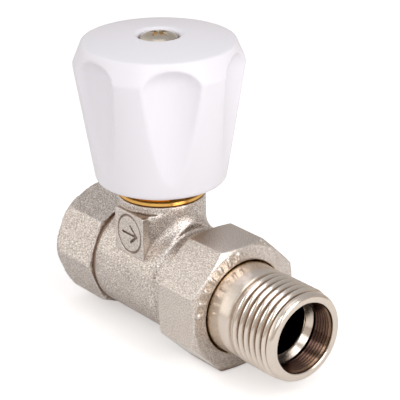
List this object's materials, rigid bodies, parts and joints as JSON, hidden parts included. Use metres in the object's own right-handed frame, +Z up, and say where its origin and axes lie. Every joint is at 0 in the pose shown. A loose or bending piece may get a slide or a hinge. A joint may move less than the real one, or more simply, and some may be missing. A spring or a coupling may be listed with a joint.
{
  "type": "straight manual radiator valve",
  "caption": "Straight manual radiator valve with a fluted white handwheel, an eight-sided inlet collar with a female thread and a union nut on a male-threaded tailpiece.",
  "frame": {"origin": "centre of the inlet mouth, on the pipe axis", "axes": "+X along the pipe towards the tailpiece, +Z up along the spindle, -Y towards the plaque"},
  "size_m": [0.0722, 0.0364, 0.0704],
  "materials": {
    "nickel_cast": "nickel-plated, sand-blasted forging",
    "nickel_turned": "nickel-plated, turned and polished",
    "brass_polished": "polished brass",
    "brass_turned": "turned brass",
    "spring_steel": "drawn spring wire",
    "screw_nickel": "nickel-plated steel",
    "seal_rubber": "smooth moulded rubber",
    "ptfe_white": "waxy white",
    "wheel_plastic": "satin white moulding"
  },
  "bodies": {
    "valve": {"valve_body": "nickel_cast", "bonnet": "brass_polished", "gland_nut": "brass_turned", "bonnet_o_ring": "seal_rubber", "stem_o_ring_lower": "seal_rubber", "stem_o_ring_upper": "seal_rubber", "packing_washer_lower": "ptfe_white", "packing_spacer": "ptfe_white", "packing_washer_upper": "ptfe_white"},
    "spindle": {"spindle": "brass_turned", "handwheel": "wheel_plastic", "handwheel_insert": "brass_turned", "handwheel_washer": "screw_nickel", "handwheel_screw": "screw_nickel"},
    "plug": {"plug": "brass_turned", "plug_clip": "spring_steel", "plug_seal": "seal_rubber", "seal_washer": "brass_turned", "seal_screw": "brass_turned"},
    "tail": {"tailpiece": "nickel_turned", "tail_o_ring": "seal_rubber"},
    "nut": {"union_nut": "nickel_cast"}
  },
  "joints": [
    {"name": "plug_lift", "type": "slide", "parent": "valve", "child": "plug", "axis": [0, 0, 1], "range_m": [0, 0.00376]},
    {"name": "handwheel_turn", "type": "hinge", "parent": "plug", "child": "spindle", "pos_m": [0.024, 0, 0.055], "axis": [0, 0, 1], "range_deg": [0, 900]},
    {"name": "tail_draw", "type": "slide", "parent": "valve", "child": "tail", "axis": [1, 0, 0], "range_m": [0, 0.00727]},
    {"name": "union_nut_turn", "type": "hinge", "parent": "tail", "child": "nut", "pos_m": [0.046, 0, 0], "axis": [1, 0, 0], "range_deg": [0, 1440]}
  ],
  "couplings": [
    {"joint": "plug_lift", "follows": "handwheel_turn", "m_per_rad": 0.00023873},
    {"joint": "tail_draw", "follows": "union_nut_turn", "m_per_rad": 0.00028871}
  ]
}
